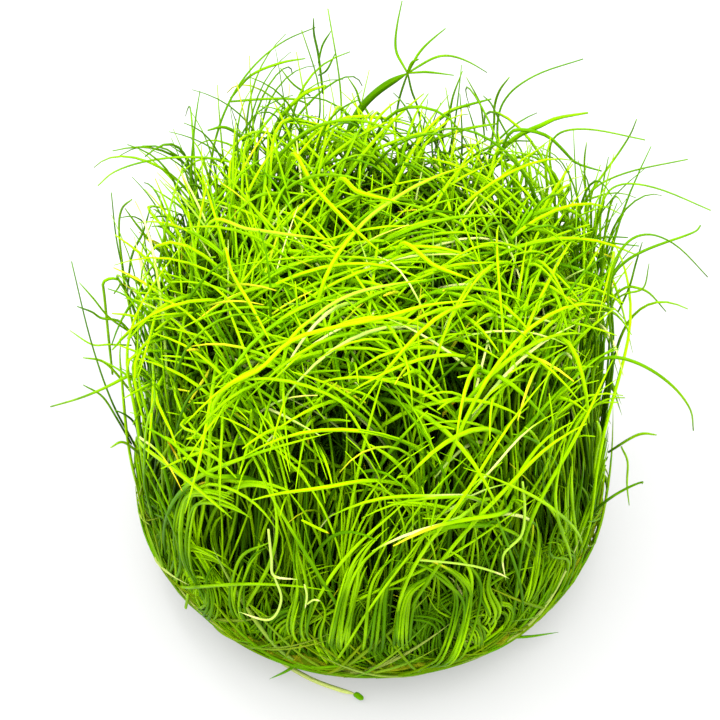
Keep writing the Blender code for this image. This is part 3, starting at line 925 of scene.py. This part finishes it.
def root_core(form):
    """Lumpy felt under the roots, turned from its section."""
    inset = 0.9 * MM
    flat = form.foot_radius - form.foot_rounding
    bend = [math.radians(degrees) for degrees in range(0, 71, 10)]
    arc = form.foot_rounding - inset
    section = [(0.0, inset)]
    section += [(flat + arc * math.sin(turn), form.foot_rounding - arc * math.cos(turn)) for turn in bend]
    section += [(flat + arc * 0.8, MAT_TOP + 1 * MM), (0.0, MAT_TOP + 1 * MM)]
    steps = 96
    turns = np.arange(steps) / steps * math.tau
    field = swell(np.random.default_rng(8), 6 * MM, 16)
    rings = []
    for radius, height in section[1:-1]:
        ring = upright(radius, turns, height)
        rings.append(ring + unit(ring * np.array([1, 1, 0.2])) * field(ring)[:, :1] * 0.25 * MM)
    points = [tuple(point) for ring in rings for point in ring]
    points += [(0, 0, section[0][1]), (0, 0, section[-1][1])]
    faces = []
    for k in range(len(rings) - 1):
        for j in range(steps):
            a, b = k * steps + j, k * steps + (j + 1) % steps
            faces.append((a, b, b + steps, a + steps))
    last = (len(rings) - 1) * steps
    for j in range(steps):
        faces.append((len(points) - 2, (j + 1) % steps, j))
        faces.append((len(points) - 1, last + j, last + (j + 1) % steps))
    mesh = bpy.data.meshes.new("root_core")
    mesh.from_pydata(points, [], faces)
    mesh.shade_smooth()
    return mesh


# Materials


def add_node(tree, kind, inputs=None, **settings):
    """Adds a node, with inputs given as values or as outputs of other nodes."""
    made = tree.nodes.new(kind)
    for name, value in settings.items():
        setattr(made, name, value)
    for name, value in (inputs or {}).items():
        if isinstance(value, bpy.types.NodeSocket):
            tree.links.new(value, made.inputs[name])
        else:
            made.inputs[name].default_value = value
    return made


def add_math(tree, operation, *values, clamp=False):
    made = add_node(tree, "ShaderNodeMath", dict(enumerate(values)), operation=operation, use_clamp=clamp)
    return made.outputs[0]


def add_mix(tree, mask, first, second, blend="MIX"):
    made = add_node(tree, "ShaderNodeMix", {0: mask, 6: first, 7: second}, data_type="RGBA", blend_type=blend)
    return made.outputs[2]


def add_ramp(tree, value, low, high):
    made = add_node(tree, "ShaderNodeMapRange", {"Value": value, "From Min": low, "From Max": high},
                    interpolation_type="SMOOTHSTEP")
    return made.outputs[0]


def attribute(tree, name):
    return add_node(tree, "ShaderNodeAttribute", attribute_name=name).outputs["Fac"]


def new_group(name, inputs, outputs):
    """An empty shader node group. inputs and outputs are (name, socket type, default) and (name, socket type)."""
    tree = bpy.data.node_groups.new(name, "ShaderNodeTree")
    for socket_name, kind, value in inputs:
        socket = tree.interface.new_socket(socket_name, in_out="INPUT", socket_type=kind)
        socket.default_value = value
    for socket_name, kind in outputs:
        tree.interface.new_socket(socket_name, in_out="OUTPUT", socket_type=kind)
    return tree, tree.nodes.new("NodeGroupInput").outputs, tree.nodes.new("NodeGroupOutput").inputs


FLOAT, COLOUR = "NodeSocketFloat", "NodeSocketColor"


def fibre_lines_group():
    """Fine lines along a strand, which never line up at a seam."""
    tree, given, wanted = new_group(
        "fibre_lines", [("Lines", FLOAT, 1.6), ("Stretch", FLOAT, 0.35)], [("Mask", FLOAT)])
    place = add_node(tree, "ShaderNodeUVMap", uv_map=STRAND_MAP).outputs[0]
    split = add_node(tree, "ShaderNodeSeparateXYZ", {0: place}).outputs
    turn = add_math(tree, "MULTIPLY", split[0], math.tau)
    x = add_math(tree, "MULTIPLY", add_math(tree, "COSINE", turn), given["Lines"])
    y = add_math(tree, "MULTIPLY", add_math(tree, "SINE", turn), given["Lines"])
    z = add_math(tree, "MULTIPLY", split[1], given["Stretch"])
    z = add_math(tree, "MULTIPLY_ADD", attribute(tree, "tint"), 97.0, z)
    vector = add_node(tree, "ShaderNodeCombineXYZ", {0: x, 1: y, 2: z}).outputs[0]
    noise = add_node(tree, "ShaderNodeTexNoise", {"Vector": vector, "Scale": 1.0, "Detail": 2.0})
    tree.links.new(add_ramp(tree, noise.outputs["Fac"], 0.3, 0.7), wanted["Mask"])
    return tree


def patches_group():
    """Soft patches in the object's space."""
    tree, given, wanted = new_group(
        "patches", [("Scale", FLOAT, 120.0), ("Low", FLOAT, 0.4), ("High", FLOAT, 0.6)], [("Mask", FLOAT)])
    place = add_node(tree, "ShaderNodeTexCoord").outputs["Object"]
    noise = add_node(tree, "ShaderNodeTexNoise", {"Vector": place, "Scale": given["Scale"], "Detail": 3.0})
    tree.links.new(add_ramp(tree, noise.outputs["Fac"], given["Low"], given["High"]), wanted["Mask"])
    return tree


def leaf_colour_group():
    """Colour of leaf tissue with painted light and shade: painted shade towards deep green low in the clump, lime with
    tint and painted light, straw and rust with age, and cream patches that are partly bleaching and partly painted
    glints.
    """
    sockets = [(name, COLOUR, (0, 0, 0, 1)) for name in ("Lime", "Green", "Deep", "Straw", "Rust", "Cream")]
    tree, given, wanted = new_group(
        "leaf_colour", sockets + [("Patches", FLOAT, 0.5), ("Lines", FLOAT, 0.5)], [("Color", COLOUR)])
    tint, light = attribute(tree, "tint"), attribute(tree, "light")
    along, age, pale = attribute(tree, "along"), attribute(tree, "age"), attribute(tree, "pale")
    # Painted shade: the light attribute mixes deep green into green.
    lit = add_ramp(tree, light, 0.0, 0.75)
    base = add_mix(tree, lit, given["Deep"], given["Green"])
    # Painted light: lime rises with the light attribute as well as with the tint.
    lime_with_painted_light = add_math(tree, "MULTIPLY_ADD", tint, 0.9, add_math(tree, "MULTIPLY_ADD", light, 0.9, -0.6))
    lime_with_painted_light = add_math(tree, "MULTIPLY_ADD", given["Patches"], 0.25, lime_with_painted_light)
    base = add_mix(tree, add_ramp(tree, lime_with_painted_light, 0.1, 0.9), base, given["Lime"])
    # The fibre lines' own tone darkens the colour a little.
    shade = add_math(tree, "MULTIPLY_ADD", given["Lines"], 0.3, 0.78)
    base = add_mix(tree, 1.0, base, add_node(tree, "ShaderNodeCombineColor", {0: shade, 1: shade, 2: shade}).outputs[0],
                   "MULTIPLY")
    worn = add_math(tree, "MULTIPLY", age, add_ramp(tree, along, 0.84, 0.97))
    base = add_mix(tree, add_math(tree, "MULTIPLY", worn, 1.3, clamp=True), base, given["Straw"])
    rusty = add_math(tree, "MULTIPLY", add_ramp(tree, worn, 0.7, 1.0), given["Patches"])
    base = add_mix(tree, rusty, base, given["Rust"])
    # Cream patch along the leaf, partly bleaching and partly a painted glint; painted shade hides it where the light
    # attribute is low.
    middle = add_math(tree, "MULTIPLY_ADD", tint, 0.3, 0.62)
    away = add_math(tree, "ABSOLUTE", add_math(tree, "SUBTRACT", along, middle))
    bleach_and_painted_glint = add_math(tree, "SUBTRACT", 1.0, add_ramp(tree, away, 0.03, 0.12))
    whole = add_math(tree, "SUBTRACT", pale, 1.0, clamp=True)
    bleach_and_painted_glint = add_math(tree, "MAXIMUM", add_math(tree, "MULTIPLY", bleach_and_painted_glint, pale, clamp=True), whole)
    bleach_and_painted_glint = add_math(tree, "MULTIPLY", bleach_and_painted_glint, add_ramp(tree, light, 0.05, 0.35))
    base = add_mix(tree, bleach_and_painted_glint, base, given["Cream"])
    tree.links.new(base, wanted["Color"])
    return tree


def group(name, builder):
    return bpy.data.node_groups.get(name) or builder()


def use_group(tree, name, builder, inputs=None):
    made = add_node(tree, "ShaderNodeGroup", node_tree=group(name, builder))
    for key, value in (inputs or {}).items():
        if isinstance(value, bpy.types.NodeSocket):
            tree.links.new(value, made.inputs[key])
        else:
            made.inputs[key].default_value = value
    return made.outputs


def new_material(name, roughness, specular):
    made = bpy.data.materials.new(name)
    made.use_nodes = True
    shader = made.node_tree.nodes["Principled BSDF"]
    shader.inputs["Roughness"].default_value = roughness
    shader.inputs["Specular IOR Level"].default_value = specular
    return made, made.node_tree, shader


def rgba(rgb, gain=1.0):
    return (*[min(1.0, c * gain) for c in rgb], 1.0)


def leaf_material(name, colours, gain=1.0, roughness=0.42, lines=1.6):
    """Needle leaf: fine lines along it, patches of tint, a soft sheen."""
    made = bpy.data.materials.get(name)
    if made:
        return made
    made, tree, shader = new_material(name, roughness, 0.03)
    shader.inputs["Specular Tint"].default_value = (0.9, 1.0, 0.4, 1.0)
    veins = use_group(tree, "fibre_lines", fibre_lines_group, {"Lines": lines, "Stretch": 0.35})["Mask"]
    patches = use_group(tree, "patches", patches_group, {"Scale": 140.0, "Low": 0.35, "High": 0.65})["Mask"]
    tissue = use_group(tree, "leaf_colour", leaf_colour_group, {
        "Lime": rgba(colours.lime, gain), "Green": rgba(colours.green, gain), "Deep": rgba(colours.deep, gain),
        "Straw": rgba(colours.straw), "Rust": rgba(colours.rust), "Cream": rgba(colours.cream),
        "Patches": patches, "Lines": veins})["Color"]
    tree.links.new(tissue, shader.inputs["Base Color"])
    tree.links.new(add_math(tree, "MULTIPLY_ADD", veins, 0.18, roughness - 0.09), shader.inputs["Roughness"])
    bump = add_node(tree, "ShaderNodeBump", {"Strength": 0.5, "Distance": 0.08 * MM, "Height": veins})
    tree.links.new(bump.outputs[0], shader.inputs["Normal"])
    return made


def root_material(colours):
    """Felted roots and runners: cream to olive, with brown patches."""
    made, tree, shader = new_material("felted_roots", 0.5, 0.03)
    lines = use_group(tree, "fibre_lines", fibre_lines_group, {"Lines": 1.2, "Stretch": 0.5})["Mask"]
    patches = use_group(tree, "patches", patches_group, {"Scale": 160.0, "Low": 0.4, "High": 0.62})["Mask"]
    base = add_mix(tree, attribute(tree, "tint"), rgba(colours.olive), rgba(colours.green))
    base = add_mix(tree, attribute(tree, "pale"), base, rgba(colours.cream, 0.8))
    aged = add_math(tree, "MULTIPLY", attribute(tree, "age"), patches)
    base = add_mix(tree, aged, base, rgba(colours.straw, 0.7))
    tree.links.new(base, shader.inputs["Base Color"])
    tree.links.new(add_math(tree, "MULTIPLY_ADD", patches, 0.2, 0.42), shader.inputs["Roughness"])
    bump = add_node(tree, "ShaderNodeBump", {"Strength": 0.5, "Distance": 0.1 * MM, "Height": lines})
    tree.links.new(bump.outputs[0], shader.inputs["Normal"])
    return made


def felt_material(colours):
    """Matted fibres of the root felt."""
    made, tree, shader = new_material("core_felt", 0.75, 0.03)
    fine = use_group(tree, "patches", patches_group, {"Scale": 900.0, "Low": 0.38, "High": 0.62})["Mask"]
    broad = use_group(tree, "patches", patches_group, {"Scale": 150.0, "Low": 0.35, "High": 0.65})["Mask"]
    base = add_mix(tree, broad, rgba(colours.olive, 0.6), rgba(colours.green, 0.7))
    base = add_mix(tree, add_math(tree, "MULTIPLY", fine, 0.5), base, rgba(colours.straw, 0.6))
    tree.links.new(base, shader.inputs["Base Color"])
    tree.links.new(add_math(tree, "MULTIPLY_ADD", fine, 0.2, 0.65), shader.inputs["Roughness"])
    bump = add_node(tree, "ShaderNodeBump", {"Strength": 0.8, "Distance": 0.3 * MM, "Height": fine})
    tree.links.new(bump.outputs[0], shader.inputs["Normal"])
    return made


def floor_material(rgb, glow):
    """Smooth pale floor, lit from below, with a faint unevenness."""
    made, tree, shader = new_material("pale_floor", 0.7, 0.1)
    shader.inputs["Emission Color"].default_value = (1, 1, 1, 1)
    shader.inputs["Emission Strength"].default_value = glow
    patches = use_group(tree, "patches", patches_group, {"Scale": 3.0, "Low": 0.3, "High": 0.7})["Mask"]
    tree.links.new(add_mix(tree, patches, rgba(rgb), rgba(rgb, 0.985)), shader.inputs["Base Color"])
    return made


# Operators


class HAIRGRASS_OT_root_mat(Operator):
    """Builds the felted root mat"""

    bl_idname = "hairgrass.root_mat"
    bl_label = "Root Mat"

    def execute(self, context):
        settings = context.scene.hairgrass
        chance = np.random.default_rng(settings.roots.seed)
        sway = swell(chance, 22 * MM)
        roots = felted_roots(chance, settings, sway)
        mesh = strand_mesh("root_strands", [roots, *foot_runner(settings.roots.width)], settings.form)
        add_piece("root_strands", mesh, root_material(settings.colours), "root_felt", "root_mat")
        add_piece("root_core", root_core(settings.form), felt_material(settings.colours), "root_felt", "root_mat")
        return {"FINISHED"}


class HAIRGRASS_OT_tufts(Operator):
    """Grows the leaves of every tuft"""

    bl_idname = "hairgrass.tufts"
    bl_label = "Tufts"

    def execute(self, context):
        settings = context.scene.hairgrass
        chance = np.random.default_rng(settings.leaves.seed)
        sway = swell(chance, 26 * MM, 9)
        growers = (canopy_leaves, inner_leaves, wall_leaves, loose_wall_leaves, hooked_leaves, standing_tips,
                   shoulder_leaves)
        kinds = [grower(chance, settings, sway) for grower in growers]
        for drawer in (drawn_locks, drawn_runners, drawn_blades, drawn_edge_leaves):
            kinds += drawer(chance, settings, sway)
        finish = leaf_material("needle_leaf", settings.colours)
        for index, name in enumerate(TUFTS):
            mesh = strand_mesh(f"{name}_leaves", [kind.where(kind.owner == index) for kind in kinds], settings.form)
            add_piece(f"{name}_leaves", mesh, finish, "grass", name)
        return {"FINISHED"}


class HAIRGRASS_OT_long_leaves(Operator):
    """Draws the single leaves that stand clear of the mass, along their solids"""

    bl_idname = "hairgrass.long_leaves"
    bl_label = "Long Leaves"

    def execute(self, context):
        settings = context.scene.hairgrass
        finish = leaf_material("single_leaf", settings.colours)
        chance = np.random.default_rng(2)
        for name in LONG_LEAVES:
            middles = centreline(NODES[name], lambda point: point.z)
            width = settings.leaves.width * 0.75
            # Painted shade keeps this leaf dark green where it stands in full light.
            leaf = one_strand(smooth_route(middles, 44), width, tint=chance.uniform(0.2, 0.6), shade=0.5,
                              taper=0.55, blunt=0.45, sides=8)
            mesh = strand_mesh(f"{name}_blade", [leaf], settings.form)
            add_piece(f"{name}_blade", mesh, finish, "long_leaf", name)
        return {"FINISHED"}


class HAIRGRASS_OT_runner(Operator):
    """Draws the runner at the back and the shoot at its end"""

    bl_idname = "hairgrass.runner"
    bl_label = "Runner"

    def execute(self, context):
        settings = context.scene.hairgrass
        finish = leaf_material("runner_stem", settings.colours)
        middles = centreline(NODES["runner"], lambda point: point.z)
        # Painted shade keeps the stem and its hanging leaves dark green in full light.
        stem = one_strand(smooth_route(middles, 40), 1.0 * MM, shade=0.42, taper=0.1, sides=12, flat=0.9)
        hanging = [one_strand(smooth_route(np.array(points, float) * MM, 16), settings.leaves.width * 0.7, shade=0.42,
                              taper=0.6, blunt=0.4) for points in HANGING_LEAVES]
        mesh = strand_mesh("runner_stem", [stem, *hanging], settings.form)
        add_piece("runner_stem", mesh, finish, "runner", "runner")
        end = middles[-1]
        finish = leaf_material("single_leaf", settings.colours)
        for name in SHOOT_LEAVES:
            middles = centreline(NODES[name], lambda point: (point - end).length)
            # Painted shade keeps this leaf dark green where it stands in full light.
            leaf = one_strand(smooth_route([end] + middles, 30), settings.leaves.width * 0.65, shade=0.5, taper=0.6,
                              blunt=0.4, sides=8)
            mesh = strand_mesh(f"{name}_blade", [leaf], settings.form)
            add_piece(f"{name}_blade", mesh, finish, "long_leaf", name)
        return {"FINISHED"}


class HAIRGRASS_OT_stage(Operator):
    """Sets the floor, the soft light and the camera"""

    bl_idname = "hairgrass.stage"
    bl_label = "Stage"

    def execute(self, context):
        stage = context.scene.hairgrass.stage
        bpy.ops.mesh.primitive_plane_add(size=6)
        floor = context.object
        floor.name = "floor"
        floor.data.materials.append(floor_material(stage.floor, stage.glow))

        world = bpy.data.worlds.new("even_light")
        world.use_nodes = True
        tree = world.node_tree
        background = tree.nodes["Background"]
        background.inputs["Color"].default_value = (1, 1, 1, 1)
        seen = add_node(tree, "ShaderNodeLightPath").outputs["Is Camera Ray"]
        strength = add_node(tree, "ShaderNodeMix", {0: seen, 2: stage.sky, 3: 1.0}, data_type="FLOAT").outputs[0]
        tree.links.new(strength, background.inputs["Strength"])
        context.scene.world = world

        add_light("key", "SUN", (-0.05, -0.05, 1.0), stage.key).angle = math.radians(75)
        glint = add_light("glint", "AREA", (-0.15, 0.12, 0.45), stage.glint)
        glint.shape, glint.size = "DISK", 0.07

        camera = bpy.data.objects.new("camera", bpy.data.cameras.new("camera"))
        context.scene.collection.objects.link(camera)
        camera.data.sensor_width = 36
        camera.data.lens = stage.lens
        rise = stage.camera_elevation
        camera.location = Vector((0, -math.cos(rise), math.sin(rise))) * stage.camera_distance
        camera.rotation_euler = (Vector(stage.aim) - camera.location).to_track_quat("-Z", "Y").to_euler()
        context.scene.camera = camera
        context.scene.view_settings.view_transform = "Standard"
        return {"FINISHED"}


def add_light(name, kind, place, strength):
    """A light that looks at the middle of the clump. Returns its data."""
    data = bpy.data.lights.new(name, kind)
    data.energy = strength
    light = bpy.data.objects.new(name, data)
    bpy.context.scene.collection.objects.link(light)
    light.location = place
    light.rotation_euler = (Vector((0, 0, 0.03)) - light.location).to_track_quat("-Z", "Y").to_euler()
    return data


class VIEW3D_PT_hairgrass(Panel):
    """Lists the pieces and their settings"""

    bl_label = "Hairgrass"
    bl_idname = "VIEW3D_PT_hairgrass"
    bl_space_type = "VIEW_3D"
    bl_region_type = "UI"
    bl_category = "Hairgrass"

    def draw(self, context):
        settings = context.scene.hairgrass
        for part in (settings.form, settings.leaves, settings.roots, settings.colours, settings.stage):
            box = self.layout.box()
            for name in part.__annotations__:
                box.prop(part, name)
        for operator in OPERATORS:
            self.layout.operator(operator.bl_idname)


OPERATORS = (
    HAIRGRASS_OT_stage,
    HAIRGRASS_OT_root_mat,
    HAIRGRASS_OT_tufts,
    HAIRGRASS_OT_long_leaves,
    HAIRGRASS_OT_runner,
)
CLASSES = (
    HairgrassForm,
    HairgrassLeaves,
    HairgrassRoots,
    HairgrassColours,
    HairgrassStage,
    HairgrassSettings,
    *OPERATORS,
    VIEW3D_PT_hairgrass,
)


def register():
    for cls in CLASSES:
        bpy.utils.register_class(cls)
    bpy.types.Scene.hairgrass = PointerProperty(type=HairgrassSettings)


def unregister():
    del bpy.types.Scene.hairgrass
    for cls in reversed(CLASSES):
        bpy.utils.unregister_class(cls)


def main():
    register()
    bpy.ops.hairgrass.stage()
    bpy.ops.hairgrass.root_mat()
    bpy.ops.hairgrass.tufts()
    bpy.ops.hairgrass.long_leaves()
    bpy.ops.hairgrass.runner()


if __name__ == "__main__":
    main()
